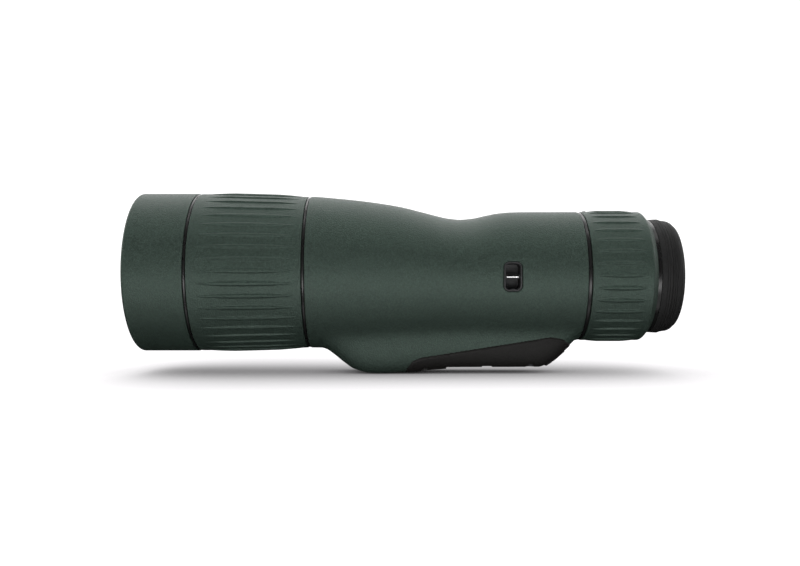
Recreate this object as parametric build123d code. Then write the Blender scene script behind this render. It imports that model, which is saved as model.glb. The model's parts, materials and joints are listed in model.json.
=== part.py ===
from build123d import *
import math
import os

os.makedirs("parts", exist_ok=True)

# Straight spotting scope, all lengths in mm.
# +X runs from the objective to the eyepiece, +Z is up, and the origin is the mouth
# of the tripod thread in the flat underside of the foot.

# ---- overall ----
Z_OBJ = 53.4             # height of the objective axis above the foot face
Z_EYE = 51.2             # height of the eyepiece axis
GAP = 0.1                # end clearance beside a turning ring
RUN = 0.05               # radial running clearance of a ring, cell or sleeve

# ---- objective end ----
X_FRONT = -182.0         # front rim of the hood
X_BODY = -85.7           # front face of the body
R_HOOD = 45.0
R_HOOD_TUBE = 43.0
R_BARREL = 38.5
R_BARREL_BORE = 36.0
R_FILTER = 38.15         # bore of the M77 filter thread
R_APERTURE = 28.0        # clear radius of the 56 mm objective
R_OBJ_LENS = 30.5
HOOD_END = -149.5
TRIM = 1.6               # width of the bright rings between the armour sections
BAFFLE_X0, BAFFLE_X1 = -175.9, -163.0
BAFFLE_TEETH = 7
CELL_X0, CELL_X1 = -160.0, -143.0    # objective cell
LENS_SEAT = -145.0       # shoulder behind the doublet
GLAND_X0, GLAND_X1, GLAND_DEEP = -151.5, -149.5, 1.4     # O-ring groove

# ---- focus ring and focusing cell ----
FOCUS_X0 = HOOD_END + TRIM + GAP
FOCUS_X1 = X_BODY - TRIM - GAP
FOCUS_RADII = (44.9, 44.35, 43.25)   # ring radius at its front, middle and rear
FOCUS_TRAVEL = 12.0      # stroke of the focusing cell
FOCUS_SWEEP = 450.0      # turn of the ring over that stroke
FOCUS_CELL_X = -118.0    # middle of the cell, half way along its stroke
R_FOCUS_LENS = 26.0
FOCUS_PIN_R = 1.5
FOCUS_RIBS = 42

# ---- body ----
X_REAR = 65.8            # rear face of the body
ARMOUR = 2.0
WALL = 2.6
# (x, height) of the top line, of the under line, and (x, half width)
TOP_LINE = [(-85.7, 96.7), (-69.7, 95.55), (-52.4, 93.65), (-35.1, 90.9), (-21.3, 87.5),
            (-14.4, 85.7), (-7.5, 84.2), (-0.6, 83.6), (6.3, 84.2), (13.2, 85.65),
            (20.2, 87.05), (27.5, 87.75), (35.0, 87.95), (65.8, 88.0)]
UNDER_LINE = [(-85.7, 10.1), (-80.0, 10.05), (-76.6, 9.2), (-72.0, 6.4), (-66.0, 1.8),
              (-61.0, -1.5), (-52.0, -3.65), (-44.0, -3.75), (-30.0, -2.9), (-16.0, -1.5),
              (0.0, -0.7), (40.0, -0.3), (44.0, 0.2), (49.0, 2.3), (57.4, 8.8),
              (61.1, 12.0), (63.6, 13.9), (65.8, 14.4)]
HALF_WIDTH = [(-85.7, 43.3), (-60.0, 42.6), (-30.0, 40.4), (-5.0, 38.2), (15.0, 37.6),
              (40.0, 37.4), (65.8, 36.8)]
KEEL_WIDTH = [(-85.7, 25.0), (-45.0, 24.0), (0.0, 22.0), (65.8, 21.5)]
KEEL_SQUARE = 4.2        # how square the underside of the keel is
KEEL_BLEND = 13.0        # how tightly the keel runs into the tube

# ---- foot ----
SEAT_X0, SEAT_X1 = -34.0, 48.0       # flat seat of the foot in the casing
SEAT_Z = 6.5
SEAT_HALF = 18.5
FLOOR_Z = 9.5
SHOE_PROUD = 0.6
BUSH_R, BUSH_TOP = 5.5, 8.0
TRIPOD_R = 2.6           # bore of the 1/4 inch tripod thread
TWIST_X, TWIST_R, TWIST_DEEP = 22.0, 2.5, 5.5
FOOT_SCREWS = [(-21.0, -12.0), (-21.0, 12.0), (38.0, -12.0), (38.0, 12.0)]
SCREW_R, HEAD_R, HEAD_H = 1.5, 2.75, 2.0
HEAD_Z, SCREW_TOP = 1.0, 9.0
FLAT_X0, FLAT_X1 = -9.0, 43.0        # flat underside
GROOVE_X0, GROOVE_X1, GROOVE_DEEP = 11.0, 16.7, 0.6
# side view of the shoe, with the round of each corner
SHOE_EDGE = [(-33.5, -12.0), (-31.5, -1.0), (-28.5, 3.6), (-24.0, 5.8), (41.0, 16.2),
             (48.0, 17.4), (55.0, 16.2), (61.0, 12.0), (70.0, 0.0), (70.0, -12.0)]
SHOE_ROUNDS = [0, 3.0, 3.0, 6.0, 12.0, 8.0, 8.0, 0, 0, 0]

# ---- strap pockets ----
POCKET_X, POCKET_Z = 25.2, 50.6
POCKET_W, POCKET_H, POCKET_ROUND = 10.2, 16.3, 3.2
POCKET_WALL = 1.2
POCKET_FLOOR = 29.0      # distance of the pocket floor from the middle plane
STRAP_PIN_R = 1.0
STRAP_PIN_Y = 34.6

# ---- prisms ----
PRISM_A = 25.0           # aperture of the prism pair
PRISM_X = -5.0
CEMENT = 0.15            # air gap between the two prisms
CRADLE_SCREWS = (-7.0, 25.0)
BRIDGE_Z = 73.5          # underside of the bridge over the roof ridge

# ---- eyepiece ----
R_TUBE, R_TUBE_BORE = 29.95, 27.5
TUBE_X0, TUBE_X1 = 40.0, 117.2
ZOOM_TRIM = 2.1
ZOOM_X0, ZOOM_X1 = 68.0, 104.0
R_ZOOM, R_ZOOM_CORE, R_SLEEVE = 36.8, 34.8, 32.0
ZOOM_SWEEP = 130.0
ZOOM_RIBS = 34
FRONT_CELL_X, FRONT_STROKE = 76.0, 6.0
REAR_CELL_X, REAR_STROKE = 95.0, -5.0
ZOOM_PIN_R = 1.25
R_ZOOM_LENS, R_ZOOM_LIP = 23.0, 21.0
PIP_X, PIP_R, PIP_H = 70.8, 1.2, 1.9
COLLAR_X1 = 106.3
CUP_X0, CUP_X1 = 106.4, 119.7
R_CUP = 32.4
CUP_TRAVEL, CUP_SWEEP = 6.0, 90.0
GUIDE_X, GUIDE_R = 109.6, 0.9

parts = {}


# ---- helpers ----
def turned(outline, axis_z):
    """Solid of revolution about an optical axis, from (x, radius) or (x, radius, round) corners."""
    corners = [(p[0], 0, axis_z + p[1]) for p in outline]
    rounds = [p[2] if len(p) == 3 else 0 for p in outline]
    if any(rounds):
        edge = FilletPolyline(*corners, radius=rounds, close=True)
    else:
        edge = Polyline(*corners, close=True)
    return revolve(make_face(edge), Axis((0, 0, axis_z), (1, 0, 0)), 360)


def tube(x0, x1, r_out, r_in, axis_z):
    """Plain tube, or a plain disc when r_in is zero."""
    return turned([(x0, r_in), (x0, r_out), (x1, r_out), (x1, r_in)], axis_z)


def box(x0, x1, y0, y1, z0, z1):
    """Block between two corners."""
    return Pos((x0 + x1) / 2, (y0 + y1) / 2, (z0 + z1) / 2) * Box(x1 - x0, y1 - y0, z1 - z0)


def about_axis(shape, axis_z, degrees):
    """Turn a shape about an optical axis."""
    return Pos(0, 0, axis_z) * Rot(degrees, 0, 0) * Pos(0, 0, -axis_z) * shape


def radial_pin(x, r_in, r_out, radius, axis_z, degrees=0.0):
    """Pin standing out from an optical axis, straight up when degrees is zero."""
    pin = Pos(x, 0, axis_z + (r_in + r_out) / 2) * Cylinder(radius, r_out - r_in)
    return about_axis(pin, axis_z, degrees)


def axial_slot(x0, x1, r_in, r_out, half_width, axis_z, degrees=0.0):
    """Cutter for a slot along the axis with round ends."""
    cutter = box(x0, x1, -half_width, half_width, axis_z + r_in, axis_z + r_out)
    for x in (x0, x1):
        cutter += Pos(x, 0, axis_z + (r_in + r_out) / 2) * Cylinder(half_width, r_out - r_in)
    return about_axis(cutter, axis_z, degrees)


def helical_slot(x_mid, at_degrees, r_in, r_out, width, travel, sweep_degrees, axis_z):
    """Cutter for a helical slot that climbs by travel over sweep_degrees of turn about +X."""
    margin = math.degrees(width / 2 / r_in) + 1.0
    turns = (sweep_degrees + 2 * margin) / 360
    lead = abs(travel) * 360 / sweep_degrees
    path = Helix(pitch=lead, height=lead * turns, radius=(r_in + r_out) / 2,
                 lefthand=travel < 0)
    section = Plane(origin=path @ 0, x_dir=(1, 0, 0), z_dir=path % 0) * Rectangle(
        r_out - r_in, width)
    cutter = sweep(section, path, is_frenet=True)
    start = -turns * 180 if travel > 0 else turns * 180
    cutter = Rot(0, 0, at_degrees + start) * Pos(0, 0, -lead * turns / 2) * cutter
    return Plane(origin=(x_mid, 0, axis_z), x_dir=(0, 0, 1),
                 z_dir=(1, 0, 0)).location * cutter


def lens(x_front, x_rear, radius, r_front, r_rear, axis_z):
    """Lens from its edge stations; positive surface radii bulge out, None is flat."""
    def crown(surface):
        if surface is None:
            return 0.0
        return math.copysign(abs(surface) - math.sqrt(surface ** 2 - radius ** 2), surface)

    def face_edge(x, bulge):
        rim, pole = (x, 0, axis_z + radius), (x + bulge, 0, axis_z)
        if bulge == 0:
            return Line(rim, pole)
        centre = x + bulge - math.copysign((radius ** 2 + bulge ** 2) / 2 / abs(bulge), bulge)
        ball = abs(x + bulge - centre)
        half = math.asin(radius / ball) / 2
        mid = (centre + math.copysign(ball * math.cos(half), bulge), 0,
               axis_z + ball * math.sin(half))
        return ThreePointArc(rim, mid, pole)

    front, rear = -crown(r_front), crown(r_rear)
    edge = [face_edge(x_front, front), face_edge(x_rear, rear),
            Line((x_front, 0, axis_z + radius), (x_rear, 0, axis_z + radius)),
            Line((x_front + front, 0, axis_z), (x_rear + rear, 0, axis_z))]
    return revolve(make_face(edge), Axis((0, 0, axis_z), (1, 0, 0)), 360)


def spindle(x0, r0, x1, r1, height, axis_z):
    """Raised grip rib: a slim spindle lying along the surface of a ring."""
    a, b = Vector(x0, 0, axis_z + r0), Vector(x1, 0, axis_z + r1)
    along = (b - a).normalized()
    mid = (a + b) * 0.5 + Vector(-along.Z, 0, along.X) * height
    face = make_face([ThreePointArc(a, mid, b), Line(b, a)])
    return revolve(face, Axis(a, b - a), 360)


def ring_of(shape, count, axis_z):
    """Evenly spaced copies of a shape round an optical axis."""
    return [about_axis(shape, axis_z, 360 * i / count) for i in range(count)]


def along(table, x):
    """Value at x of a smooth curve through a table of (x, value), without overshoot."""
    if x <= table[0][0]:
        return table[0][1]
    if x >= table[-1][0]:
        return table[-1][1]
    xs, vs = [p[0] for p in table], [p[1] for p in table]
    steps = [xs[i + 1] - xs[i] for i in range(len(xs) - 1)]
    slopes = [(vs[i + 1] - vs[i]) / steps[i] for i in range(len(steps))]
    tangents = [0.0]
    for i in range(1, len(steps)):
        a, b = slopes[i - 1], slopes[i]
        tangents.append(0.0 if a * b <= 0 else 2 * a * b / (a + b))
    tangents.append(0.0)
    i = max(k for k in range(len(steps)) if xs[k] <= x)
    t = (x - xs[i]) / steps[i]
    return ((1 + 2 * t) * (1 - t) ** 2 * vs[i] + t * t * (3 - 2 * t) * vs[i + 1]
            + steps[i] * (t * (1 - t) ** 2 * tangents[i] - t * t * (1 - t) * tangents[i + 1]))


def body_section(x, grow):
    """Pear-shaped cross-section of the body at station x, grown outwards by grow."""
    blend = min(1.0, max(0.0, (x + 60.0) / 105.0))
    centre = Z_OBJ + (Z_EYE - Z_OBJ) * blend * blend * (3 - 2 * blend)
    half = along(HALF_WIDTH, x) + grow
    top = along(TOP_LINE, x) - centre + grow
    drop = max(centre - along(UNDER_LINE, x) + grow, half)
    keel = along(KEEL_WIDTH, x) + grow
    depth = (drop ** KEEL_BLEND - half ** KEEL_BLEND) ** (1 / KEEL_BLEND)
    points = []
    for i in range(48):
        angle = math.radians(90 + 7.5 * i)
        c, s = abs(math.cos(angle)), abs(math.sin(angle))
        if i <= 12 or i >= 36:
            r = 1 / math.hypot(c / half, s / top)
        else:
            r = half
            if depth > 1.0:
                k = ((c / keel) ** KEEL_SQUARE + (s / depth) ** KEEL_SQUARE) ** (-1 / KEEL_SQUARE)
                r = (half ** KEEL_BLEND + k ** KEEL_BLEND) ** (1 / KEEL_BLEND)
        points.append((x, r * math.cos(angle), centre + r * math.sin(angle)))
    return make_face(Spline(*points, periodic=True))


BODY_STATIONS = [-85.7, -81.0, -77.0, -73.0, -69.0, -65.0, -61.0, -56.5, -51.0, -44.0, -36.0,
                 -28.0, -20.0, -13.0, -6.5, 0.0, 6.5, 13.0, 20.0, 27.0, 35.0, 41.0, 45.0, 49.0,
                 53.0, 57.0, 60.5, 63.5, 65.8]


def body_form(grow):
    """Solid of the whole body outline, grown outwards by grow."""
    return loft([body_section(x, grow) for x in BODY_STATIONS])


# ---- hood ----
parts["hood_armour"] = turned(
    [(X_FRONT, 40.4, 0.4), (X_FRONT, R_HOOD, 1.8), (HOOD_END, R_HOOD, 0.4),
     (HOOD_END, R_HOOD_TUBE), (X_FRONT + 1.1, R_HOOD_TUBE), (X_FRONT + 1.1, 40.4)], Z_OBJ)
parts["hood_tube"] = turned(
    [(X_FRONT + 1.1, R_FILTER + 0.6), (X_FRONT + 1.1, R_HOOD_TUBE), (HOOD_END, R_HOOD_TUBE),
     (HOOD_END, R_BARREL), (BAFFLE_X1, R_BARREL), (BAFFLE_X1, 37.5), (BAFFLE_X0, 37.5),
     (BAFFLE_X0, R_FILTER), (X_FRONT + 1.7, R_FILTER)], Z_OBJ)

pitch = (BAFFLE_X1 - BAFFLE_X0) / BAFFLE_TEETH
outline = [(BAFFLE_X0, 37.5), (BAFFLE_X0, 37.0)]
for i in range(BAFFLE_TEETH):
    x, r = BAFFLE_X0 + i * pitch, 36.4 - 0.8 * i
    outline += [(x + 0.3, r - 0.4), (x + pitch - 0.2, r + 0.25)]
outline += [(BAFFLE_X1, 31.2), (BAFFLE_X1, 37.5)]
parts["front_baffle"] = turned(outline, Z_OBJ)

parts["front_trim_ring"] = turned(
    [(HOOD_END, R_BARREL), (HOOD_END, 44.65, 0.3), (HOOD_END + TRIM, 44.65, 0.3),
     (HOOD_END + TRIM, R_BARREL)], Z_OBJ)
parts["focus_trim_ring"] = turned(
    [(X_BODY - TRIM, R_BARREL), (X_BODY - TRIM, 43.0, 0.3), (X_BODY, 43.0, 0.3),
     (X_BODY, R_BARREL)], Z_OBJ)

# ---- objective barrel and doublet ----
half_stroke = FOCUS_TRAVEL / 2
barrel = tube(BAFFLE_X1, -78.0, R_BARREL, R_BARREL_BORE, Z_OBJ)
parts["objective_barrel"] = barrel - axial_slot(
    FOCUS_CELL_X - half_stroke - 0.2, FOCUS_CELL_X + half_stroke + 0.2,
    R_BARREL_BORE - 1.5, R_BARREL + 1.5, FOCUS_PIN_R + RUN, Z_OBJ)

r_gland = R_BARREL_BORE - GLAND_DEEP
parts["objective_cell"] = turned(
    [(CELL_X0, R_OBJ_LENS), (CELL_X0, R_BARREL_BORE), (CELL_X0 + 2, R_BARREL_BORE),
     (CELL_X0 + 2, 32.6), (GLAND_X0 - 1.5, 32.6), (GLAND_X0 - 1.5, R_BARREL_BORE),
     (GLAND_X0, R_BARREL_BORE), (GLAND_X0, r_gland), (GLAND_X1, r_gland),
     (GLAND_X1, R_BARREL_BORE), (CELL_X1, R_BARREL_BORE), (CELL_X1, 28.6),
     (LENS_SEAT, 28.6), (LENS_SEAT, R_OBJ_LENS)], Z_OBJ)
parts["objective_o_ring"] = turned(
    [(GLAND_X0, r_gland, 0.4), (GLAND_X0, R_BARREL_BORE, 0.4),
     (GLAND_X1, R_BARREL_BORE, 0.4), (GLAND_X1, r_gland, 0.4)], Z_OBJ)
crown_edge, flint_edge = LENS_SEAT - 8.6, LENS_SEAT - 7.1
parts["objective_crown"] = lens(crown_edge, flint_edge, R_OBJ_LENS, 130, 100, Z_OBJ)
parts["objective_flint"] = lens(flint_edge, LENS_SEAT, R_OBJ_LENS, -100, None, Z_OBJ)
front_sag = 130 - math.sqrt(130 ** 2 - R_OBJ_LENS ** 2)
mouth_sag = 130 - math.sqrt(130 ** 2 - R_APERTURE ** 2)
parts["objective_retainer"] = turned(
    [(CELL_X0 + 0.4, R_APERTURE + 0.9), (CELL_X0 + 0.4, R_OBJ_LENS),
     (crown_edge - 0.02, R_OBJ_LENS),
     (crown_edge - front_sag + mouth_sag - 0.03, R_APERTURE),
     (crown_edge - 2.4, R_APERTURE)], Z_OBJ)

# ---- focus ring ----
core = turned([(FOCUS_X0, R_BARREL + RUN), (FOCUS_X0, 42.9), (FOCUS_X1, 41.3),
               (FOCUS_X1, R_BARREL + RUN)], Z_OBJ)
parts["focus_ring_core"] = core - helical_slot(
    FOCUS_CELL_X, 0, R_BARREL - 0.5, 40.6, 2 * FOCUS_PIN_R + 0.2, FOCUS_TRAVEL, FOCUS_SWEEP,
    Z_OBJ)
x_mid = (FOCUS_X0 + FOCUS_X1) / 2
skin = make_face([
    ThreePointArc((FOCUS_X0, 0, Z_OBJ + FOCUS_RADII[0]), (x_mid, 0, Z_OBJ + FOCUS_RADII[1]),
                  (FOCUS_X1, 0, Z_OBJ + FOCUS_RADII[2])),
    Polyline((FOCUS_X1, 0, Z_OBJ + FOCUS_RADII[2]), (FOCUS_X1, 0, Z_OBJ + 41.3),
             (FOCUS_X0, 0, Z_OBJ + 42.9), (FOCUS_X0, 0, Z_OBJ + FOCUS_RADII[0]))])
focus_skin = revolve(skin, Axis((0, 0, Z_OBJ), (1, 0, 0)), 360)
rib = spindle(FOCUS_X0 + 7.5, 44.45, FOCUS_X1 - 4.5, 43.1, 1.15, Z_OBJ)
parts["focus_ring_armour"] = focus_skin + ring_of(rib, FOCUS_RIBS, Z_OBJ)

# ---- focusing cell ----
cell0, cell1 = FOCUS_CELL_X - 7, FOCUS_CELL_X + 7
r_cell = R_BARREL_BORE - RUN
focus_pin = radial_pin(FOCUS_CELL_X, 31.0, 40.2, FOCUS_PIN_R, Z_OBJ)
parts["focus_pin"] = focus_pin
parts["focus_cell"] = turned(
    [(cell0, 24.0), (cell0, r_cell), (cell1, r_cell), (cell1, r_cell - 1.9),
     (cell0 + 3.5, r_cell - 1.9), (cell0 + 3.5, 28.2), (cell1 - 1, 28.2), (cell1 - 1, R_FOCUS_LENS),
     (cell0 + 3, R_FOCUS_LENS), (cell0 + 3, 24.0)], Z_OBJ) - focus_pin
parts["focus_lens"] = lens(cell0 + 3, cell0 + 10.5, R_FOCUS_LENS, -80, None, Z_OBJ)
parts["focus_lens_retainer"] = tube(cell0 + 10.5, cell1 - 1, R_FOCUS_LENS, 24.0, Z_OBJ)

# ---- body casing and armour ----
outer = body_form(0.0)
casing_form = body_form(-ARMOUR)
cavity = body_form(-ARMOUR - WALL) & box(X_BODY + 3.7, X_REAR - 3.8, -60, 60, -20, 120)
cavity -= box(SEAT_X0 - 3, SEAT_X1 + 3, -SEAT_HALF - 3, SEAT_HALF + 3, -20, FLOOR_Z)
seat = box(SEAT_X0, SEAT_X1, -SEAT_HALF, SEAT_HALF, -20, SEAT_Z)


def pocket_plug(side, inset, y0):
    """Rounded plug through one side of the body at the strap pocket."""
    outline = RectangleRounded(POCKET_W - 2 * inset, POCKET_H - 2 * inset,
                               POCKET_ROUND - inset)
    plane = Plane(origin=(POCKET_X, side * y0, POCKET_Z), x_dir=(1, 0, 0), z_dir=(0, side, 0))
    return extrude(plane * outline, 60 - y0)


pockets = [pocket_plug(side, 0.0, POCKET_FLOOR - 1.5) for side in (-1, 1)]
casing = casing_form - cavity - seat
casing -= tube(X_BODY - 1, -70.0, R_BARREL, 0, Z_OBJ)
casing -= tube(50.0, X_REAR + 1, R_TUBE, 0, Z_EYE)
casing -= Pos(0, 0, SEAT_Z + (BUSH_TOP - SEAT_Z) / 2) * Cylinder(BUSH_R, BUSH_TOP - SEAT_Z)
for x, y in FOOT_SCREWS:
    casing -= Pos(x, y, 7.5) * Cylinder(SCREW_R, 3.0)
for x in CRADLE_SCREWS:
    casing -= Pos(x, 0, 8.5) * Cylinder(SCREW_R, 2.0)
for plug in pockets:
    casing -= plug
parts["body_casing"] = casing


def shoe_region(grow):
    """Block whose upper outline is the side view of the shoe, grown by grow."""
    corners = [(x, 0, z) for x, z in SHOE_EDGE]
    face = make_face(FilletPolyline(*corners, radius=SHOE_ROUNDS, close=True))
    if grow:
        face = offset(face, amount=grow)
    return extrude(face, 60, both=True)


armour = outer - casing_form - shoe_region(0.15)
for plug in pockets:
    armour -= plug
parts["body_armour"] = armour

# ---- foot ----
shoe = (body_form(SHOE_PROUD) & shoe_region(0.0)) - (casing_form - seat)
shoe -= box(FLAT_X0, FLAT_X1, -60, 60, -12, 0)
shoe -= box(GROOVE_X0, GROOVE_X1, -60, 60, -1, GROOVE_DEEP)
shoe -= Pos(0, 0, 2) * Cylinder(BUSH_R, 12)
shoe -= Pos(TWIST_X, 0, TWIST_DEEP / 2) * Cylinder(TWIST_R, TWIST_DEEP)
for i, (x, y) in enumerate(FOOT_SCREWS):
    neck = HEAD_Z + HEAD_H
    screw = Pos(x, y, HEAD_Z + HEAD_H / 2) * Cylinder(HEAD_R, HEAD_H)
    screw += Pos(x, y, (neck + SCREW_TOP) / 2) * Cylinder(SCREW_R, SCREW_TOP - neck)
    socket = Pos(x, y, HEAD_Z + 0.5) * extrude(RegularPolygon(1.25, 6), 1.0, both=True)
    parts[f"foot_screw_{i + 1}"] = screw - socket
    shoe -= Pos(x, y, -4) * Cylinder(HEAD_R, 14)
    shoe -= Pos(x, y, 5) * Cylinder(SCREW_R, 8)
parts["foot_shoe"] = shoe
parts["tripod_bush"] = Pos(0, 0, BUSH_TOP / 2) * (
    Cylinder(BUSH_R, BUSH_TOP) - Cylinder(TRIPOD_R, BUSH_TOP))

lug_outline = make_face(Polyline((47.5, 0, -1), (50.5, 0, 6.5), (56.5, 0, 10.4), (60.5, 0, 6.0),
                                 (54, 0, -4), close=True))
lug = body_form(SHOE_PROUD + 1.1) & extrude(lug_outline, 7.0, both=True)
lug -= body_form(SHOE_PROUD)
for x in (51.2, 53.6):
    lug -= Pos(x, 0, 0.9 * (x - 49.0) + 1.1) * Rot(0, -38, 0) * Box(0.5, 20, 1.6)
parts["rear_stop"] = lug

# ---- strap pockets ----
lipped = body_form(0.15)
for side, name in ((-1, "right"), (1, "left")):
    cup = pocket_plug(side, 0.0, POCKET_FLOOR - 1.5) & lipped
    cup -= pocket_plug(side, POCKET_WALL, POCKET_FLOOR)
    pin = Pos(POCKET_X, side * STRAP_PIN_Y, POCKET_Z) * Rot(0, 90, 0) * Cylinder(
        STRAP_PIN_R, POCKET_W - 1.0)
    parts[f"strap_pin_{name}"] = pin
    parts[f"strap_frame_{name}"] = cup - pin

# ---- prisms and their cradle ----
base_z = Z_OBJ - PRISM_A / 2


def prism_face(corners):
    """Face in the middle plane from corners given in prism apertures."""
    return make_face(Polyline(*[(PRISM_X + PRISM_A * x, 0, base_z + PRISM_A * z)
                                for x, z in corners], close=True))


gap = CEMENT / PRISM_A
parts["half_penta_prism"] = extrude(
    prism_face([(0, 0), (0, 1), (1.2071, -0.2071), (1, -0.4142)]), PRISM_A / 2, both=True)
wedge = extrude(prism_face([(gap * 1.5, 1), (1.2071, -0.2071 + 1.5 * gap), (1.2071, 1.5)]),
                PRISM_A / 2, both=True)
ridge_drop = (Z_OBJ - Z_EYE) * (1 + math.tan(math.radians(22.5)))
ridge = Plane(origin=(PRISM_X, 0, base_z + PRISM_A - ridge_drop), x_dir=(0, 1, 0),
              z_dir=(1.2071, 0, 0.5))
roof = extrude(ridge * make_face(Polyline((0, 0), (-80, -80), (80, -80), close=True)), 60,
               both=True)
parts["roof_prism"] = wedge & roof

plate_y = PRISM_A / 2
cradle = box(PRISM_X - 3, 29.0, -plate_y - 3, plate_y + 3, 26.0, 29.5)
for side in (-1, 1):
    plate = make_face(Polyline((PRISM_X - 3, 0, 29.5), (PRISM_X - 3, 0, 60), (6, 0, BRIDGE_Z),
                               (22, 0, BRIDGE_Z), (29, 0, 60), (29, 0, 29.5), close=True))
    cradle += Pos(0, side * (plate_y + 1.5), 0) * extrude(plate, 1.5, both=True)
cradle += box(-11.0, 29.0, -12.0, 12.0, FLOOR_Z, 12.5)
cradle += box(-3.0, 21.0, -8.0, 8.0, 12.5, 26.0)
for i, x in enumerate(CRADLE_SCREWS):
    cradle -= Pos(x, 0, 11) * Cylinder(SCREW_R, 6)
    screw = Pos(x, 0, 12.5 + HEAD_H / 2) * Cylinder(HEAD_R, HEAD_H)
    screw += Pos(x, 0, (7.5 + 12.5) / 2) * Cylinder(SCREW_R, 5.0)
    parts[f"cradle_screw_{i + 1}"] = screw
parts["prism_cradle"] = cradle
parts["cradle_bridge"] = box(8.0, 20.0, -plate_y - 3, plate_y + 3, BRIDGE_Z, BRIDGE_Z + 2)

# ---- fixed eyepiece tube ----
tube_body = turned(
    [(TUBE_X0, R_TUBE_BORE), (TUBE_X0, R_TUBE), (TUBE_X1, R_TUBE), (TUBE_X1, R_TUBE_BORE),
     (103.5, R_TUBE_BORE), (103.5, 25.0), (101.5, 25.0), (101.5, R_TUBE_BORE)], Z_EYE)
slot_half = ZOOM_PIN_R + RUN
for x, stroke, angle in ((FRONT_CELL_X, FRONT_STROKE, 0), (REAR_CELL_X, REAR_STROKE, 180)):
    ends = sorted((x, x + stroke))
    tube_body -= axial_slot(ends[0] - 0.1, ends[1] + 0.1, 26.0, 31.0, slot_half, Z_EYE, angle)
tube_body -= helical_slot(GUIDE_X + CUP_TRAVEL / 2, CUP_SWEEP / 2, 29.0, 31.0,
                          2 * GUIDE_R + 0.15, CUP_TRAVEL, CUP_SWEEP, Z_EYE)
tube_body -= axial_slot(CUP_X0 + 1.0, CUP_X0 + 9.6, 29.0, 31.0, 1.3, Z_EYE, 180)
parts["eyepiece_tube"] = tube_body
parts["field_stop_ring"] = tube(41.0, 43.0, R_TUBE_BORE, 11.0, Z_EYE)

# ---- zoom ring ----
parts["zoom_trim_ring"] = turned(
    [(X_REAR, R_TUBE), (X_REAR, 36.55, 0.3), (X_REAR + ZOOM_TRIM, 36.55, 0.3),
     (X_REAR + ZOOM_TRIM, R_TUBE)], Z_EYE)
pip_base = R_ZOOM - 1.4
pip = Pos(PIP_X, 0, Z_EYE + pip_base + PIP_H / 2) * Cylinder(PIP_R, PIP_H)
parts["zoom_index_pip"] = fillet(pip.edges().sort_by(Axis.Z)[-1], 0.5)
zoom_skin = turned(
    [(ZOOM_X0, R_ZOOM_CORE), (ZOOM_X0, R_ZOOM, 0.4), (ZOOM_X1 - 3.1, R_ZOOM, 1.6),
     (ZOOM_X1, 33.3, 0.5), (ZOOM_X1, R_SLEEVE), (ZOOM_X1 - 1.5, R_SLEEVE),
     (ZOOM_X1 - 1.5, R_ZOOM_CORE)], Z_EYE)
zoom_rib = spindle(ZOOM_X0 + 3.5, R_ZOOM - 0.45, ZOOM_X0 + 29.0, R_ZOOM - 0.45, 1.1, Z_EYE)
zoom_skin += ring_of(about_axis(zoom_rib, Z_EYE, 180 / ZOOM_RIBS), ZOOM_RIBS, Z_EYE)
parts["zoom_ring_armour"] = zoom_skin - radial_pin(PIP_X, pip_base, R_ZOOM + 2, PIP_R, Z_EYE)
parts["zoom_ring_core"] = tube(ZOOM_X0 + 0.2, ZOOM_X1 - 1.5, R_ZOOM_CORE, R_SLEEVE, Z_EYE)
sleeve = tube(ZOOM_X0 + 0.2, 100.0, R_SLEEVE, R_TUBE + RUN, Z_EYE)
for x, stroke, angle in ((FRONT_CELL_X, FRONT_STROKE, 0), (REAR_CELL_X, REAR_STROKE, 180)):
    sleeve -= helical_slot(x + stroke / 2, angle - ZOOM_SWEEP / 2, 29.0, 33.0,
                           2 * ZOOM_PIN_R + 0.15, -stroke, ZOOM_SWEEP, Z_EYE)
parts["zoom_cam_sleeve"] = sleeve

# ---- sliding zoom cells ----
r_zoom_cell = R_TUBE_BORE - RUN
for name, x, angle, faces in (("front", FRONT_CELL_X, 0, (-70, None)),
                              ("rear", REAR_CELL_X, 180, (120, 120))):
    pin = radial_pin(x, 24.6, 31.6, ZOOM_PIN_R, Z_EYE, angle)
    ball = abs(faces[0])
    relief = 0.05 + math.sqrt(ball ** 2 - R_ZOOM_LIP ** 2) - math.sqrt(
        ball ** 2 - R_ZOOM_LENS ** 2) if faces[0] > 0 else 0.0
    cell = turned([(x - 3.5, R_ZOOM_LIP), (x - 3.5, r_zoom_cell), (x + 3.5, r_zoom_cell),
                   (x + 3.5, R_ZOOM_LENS), (x - 2.5, R_ZOOM_LENS),
                   (x - 2.5 - relief, R_ZOOM_LIP)], Z_EYE)
    parts[f"zoom_{name}_cell"] = cell - pin
    parts[f"zoom_{name}_pin"] = pin
    parts[f"zoom_{name}_lens"] = lens(x - 2.5, x + 2.5, R_ZOOM_LENS, faces[0], faces[1],
                                    Z_EYE)

# ---- eye lens ----
lens_edge = 108.5
parts["eye_lens"] = lens(103.5, lens_edge, R_TUBE_BORE, None, 60, Z_EYE)
rear_sag = 60 - math.sqrt(60 ** 2 - R_TUBE_BORE ** 2)
inner_sag = 60 - math.sqrt(60 ** 2 - 25.0 ** 2)
parts["eye_lens_retainer"] = turned(
    [(lens_edge + 0.05, R_TUBE_BORE), (lens_edge + rear_sag - inner_sag + 0.05, 25.0),
     (lens_edge + 2.6, 25.0), (lens_edge + 3.4, 25.8), (lens_edge + 3.4, R_TUBE_BORE)], Z_EYE)

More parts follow.
